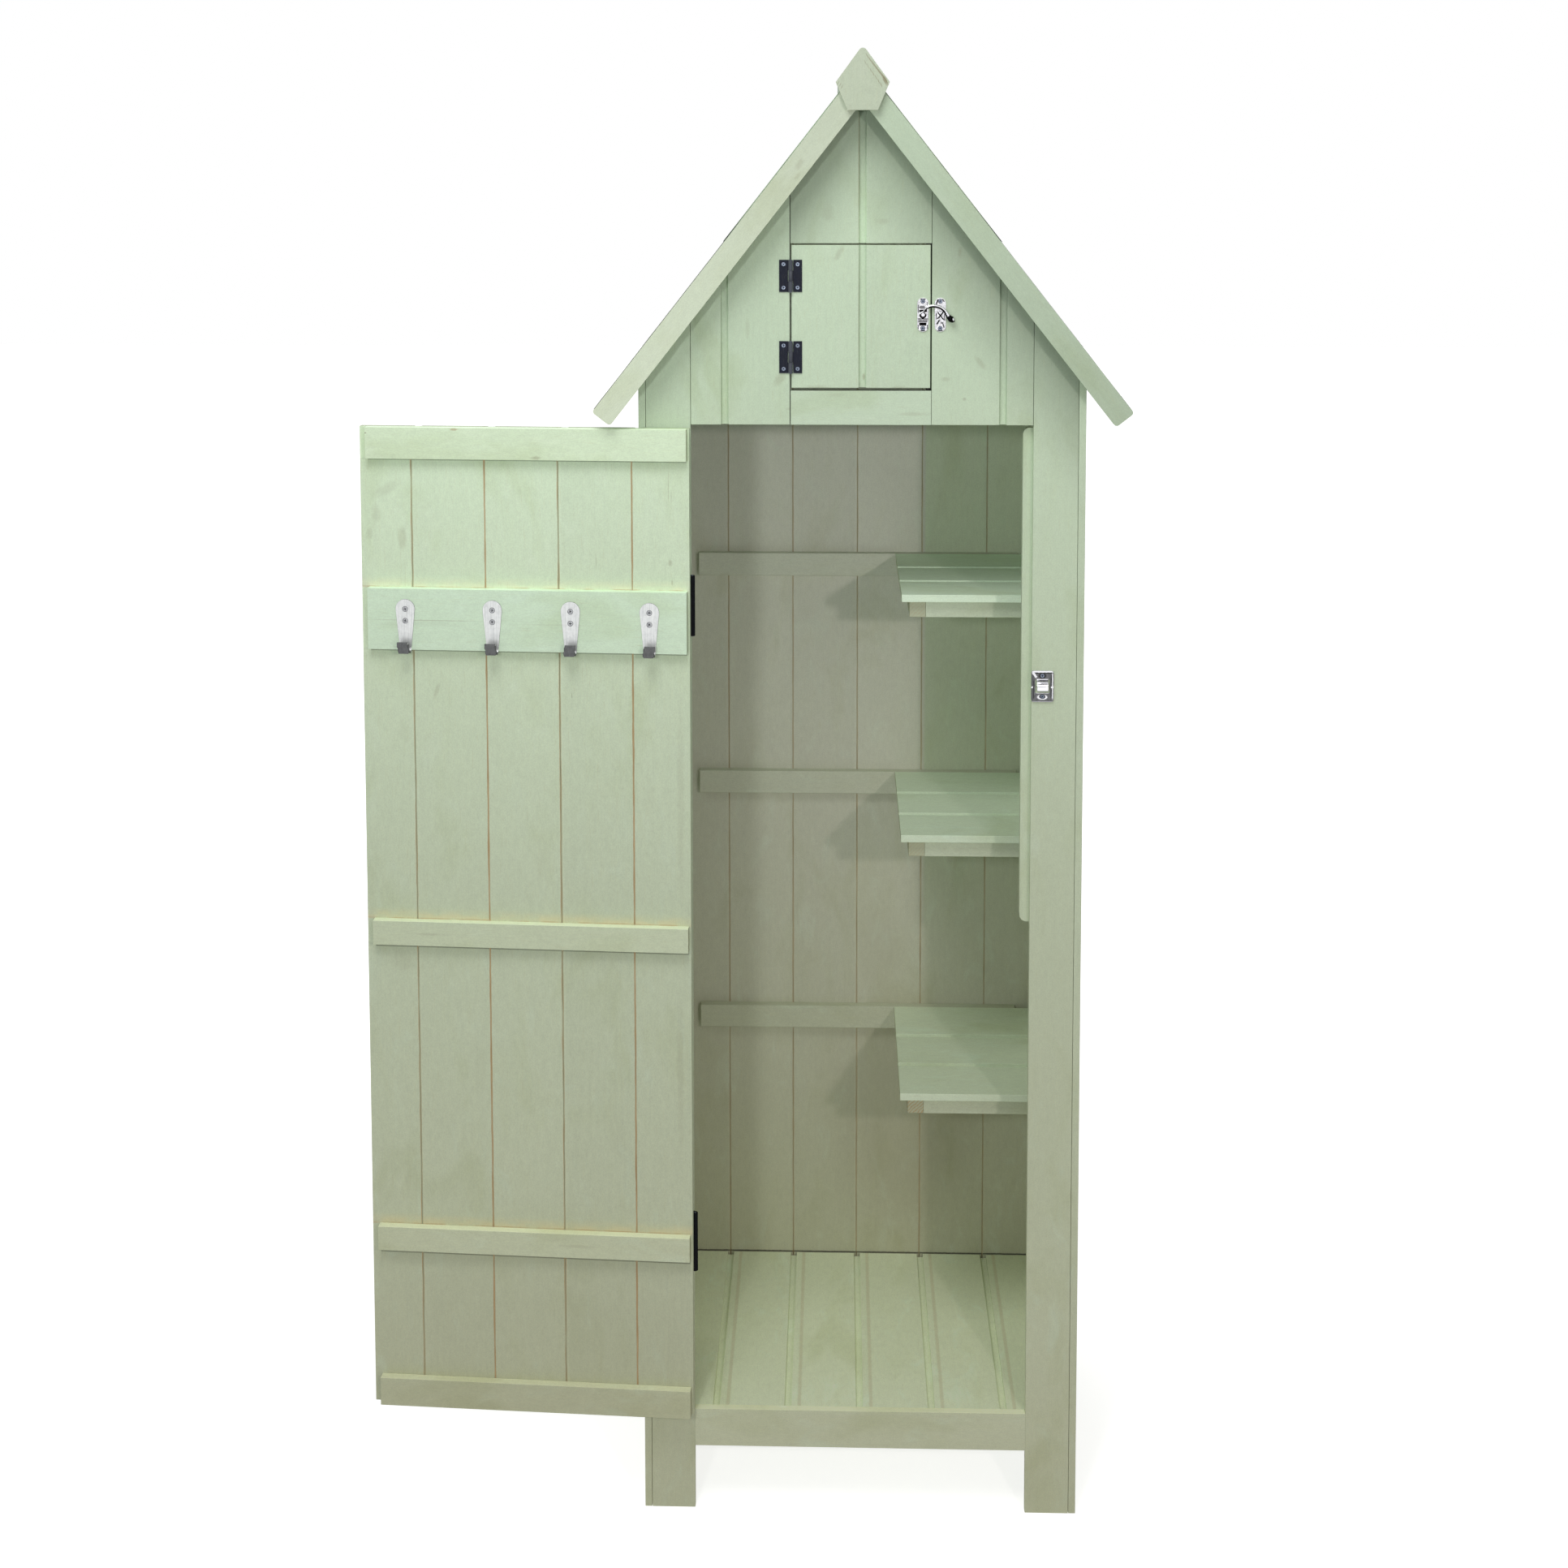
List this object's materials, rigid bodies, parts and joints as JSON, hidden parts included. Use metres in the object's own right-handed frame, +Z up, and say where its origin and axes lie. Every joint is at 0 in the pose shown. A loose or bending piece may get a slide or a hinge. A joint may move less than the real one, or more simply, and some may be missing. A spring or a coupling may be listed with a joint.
{
  "type": "garden tool shed",
  "caption": "Tall narrow wooden tool shed with a steep gabled roof, a plank door hung at the left, a small gable hatch, corner shelves and coat hooks.",
  "frame": {"origin": "on the ground under the middle of the whole outline, with the door open as stored", "axes": "+Z up, the front with the door and the hatch faces -Y, the door is hung on the side towards -X"},
  "size_m": [0.9168, 0.439, 1.79],
  "materials": {
    "green_washed_wood": "pale mint green wash over sawn softwood, grain and knots showing",
    "green_washed_wood_inside": "the same wash, greyer and thinner, with bare wood at the joints",
    "roofing_felt": "matt bitumen felt with a dark green mineral face",
    "black_steel": "black coated steel",
    "satin_steel": "satin pressed steel",
    "bright_steel": "bright plated steel"
  },
  "bodies": {
    "cabin": {"front_stile_left": "green_washed_wood", "front_stile_right": "green_washed_wood", "rear_stile_left": "green_washed_wood", "rear_stile_right": "green_washed_wood", "side_post_front_left": "green_washed_wood", "side_post_front_right": "green_washed_wood", "side_post_rear_left": "green_washed_wood", "side_post_rear_right": "green_washed_wood", "front_rail": "green_washed_wood", "floor_boards": "green_washed_wood_inside", "floor_bearers": "green_washed_wood_inside", "left_wall_boards": "green_washed_wood", "right_wall_boards": "green_washed_wood", "back_wall_boards": "green_washed_wood_inside", "back_wall_battens": "green_washed_wood_inside", "left_wall_battens": "green_washed_wood_inside", "shelf_cleats": "green_washed_wood_inside", "gable_boards_left": "green_washed_wood", "gable_boards_right": "green_washed_wood", "gable_boards_top": "green_washed_wood", "gable_sill_board": "green_washed_wood", "gable_battens": "green_washed_wood_inside", "rafters": "green_washed_wood_inside", "shelf_lower": "green_washed_wood", "shelf_middle": "green_washed_wood", "shelf_upper": "green_washed_wood", "shelf_frames": "green_washed_wood", "roof_boards_left": "green_washed_wood_inside", "roof_boards_right": "green_washed_wood_inside", "roof_felt_left": "roofing_felt", "roof_felt_right": "roofing_felt", "bargeboard_front_left": "green_washed_wood", "bargeboard_front_right": "green_washed_wood", "bargeboard_rear_left": "green_washed_wood", "bargeboard_rear_right": "green_washed_wood", "ridge_board_left": "green_washed_wood", "ridge_board_right": "green_washed_wood", "finial": "green_washed_wood", "door_stop": "green_washed_wood", "door_keeper": "bright_steel", "door_hinge_stile_leaves": "black_steel", "hatch_hinge_gable_leaves": "black_steel", "hinge_pins": "black_steel", "hatch_keeper_plate": "bright_steel", "cabin_screws": "bright_steel"},
    "door": {"door_boards": "green_washed_wood", "door_ledges": "green_washed_wood", "door_hook_rail": "green_washed_wood", "coat_hooks": "satin_steel", "hook_screws": "satin_steel", "door_hinge_leaves": "black_steel", "door_latch_base": "bright_steel", "door_screws": "bright_steel"},
    "door_latch": {"door_latch_flap": "bright_steel"},
    "hatch": {"hatch_boards": "green_washed_wood", "hatch_battens": "green_washed_wood_inside", "hatch_hinge_leaves": "black_steel", "hatch_latch_plate": "bright_steel", "hatch_screws": "bright_steel"},
    "hatch_latch": {"hatch_latch_arm": "bright_steel"}
  },
  "joints": [
    {"name": "door_swing", "type": "hinge", "parent": "cabin", "child": "door", "pos_m": [-0.06072, -0.1793, 0.738], "axis": [0, 0, 1], "range_deg": [-3.2, 182.76]},
    {"name": "door_latch_swing", "type": "hinge", "parent": "door", "child": "door_latch", "pos_m": [-0.45379, -0.16095, 1.036], "axis": [0, 0, 1], "range_deg": [0, 165]},
    {"name": "hatch_swing", "type": "hinge", "parent": "cabin", "child": "hatch", "pos_m": [0.05673, -0.1787, 1.476], "axis": [0, 0, -1], "range_deg": [0, 120]},
    {"name": "hatch_latch_turn", "type": "hinge", "parent": "hatch", "child": "hatch_latch", "pos_m": [0.21248, -0.179, 1.48002], "axis": [0, -1, 0], "range_deg": [0, 100]}
  ]
}
